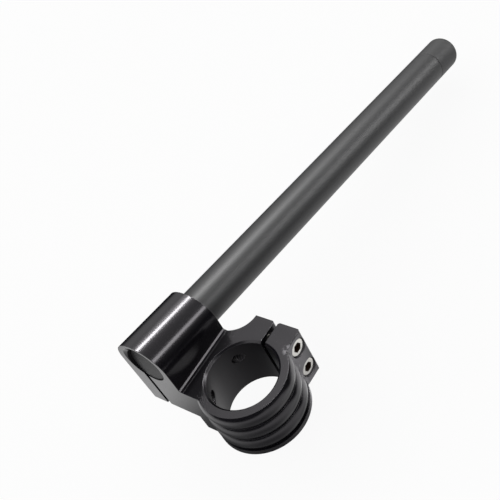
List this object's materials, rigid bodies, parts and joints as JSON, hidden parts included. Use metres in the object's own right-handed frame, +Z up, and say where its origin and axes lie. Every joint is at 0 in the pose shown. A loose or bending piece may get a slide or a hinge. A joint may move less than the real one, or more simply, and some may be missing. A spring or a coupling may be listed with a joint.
{
  "type": "clip-on handlebar",
  "caption": "Clip-on handlebar for a motorbike fork: machined black clamp with a ribbed fork ring and a split bar sleeve, holding a straight drooped tube with an end plug.",
  "frame": {"origin": "centre of the fork bore, half way up the fork ring", "axes": "+Z up along the fork tube, +X along the bar's run toward its grip end, +Y from the fork tube to the sleeve that holds the bar"},
  "size_m": [0.3195, 0.082, 0.0812],
  "materials": {
    "clamp_black": "black anodised, satin gloss",
    "tube_black": "black anodised, fine satin",
    "plug_black": "black anodised, fine satin",
    "screw_steel": "plain stainless"
  },
  "bodies": {
    "root": {"clamp_body": "clamp_black", "handlebar_tube": "tube_black", "bar_end_plug": "plug_black", "fork_screw_upper": "screw_steel", "fork_screw_lower": "screw_steel", "bar_screw_front": "screw_steel", "bar_screw_back": "screw_steel"}
  },
  "joints": []
}
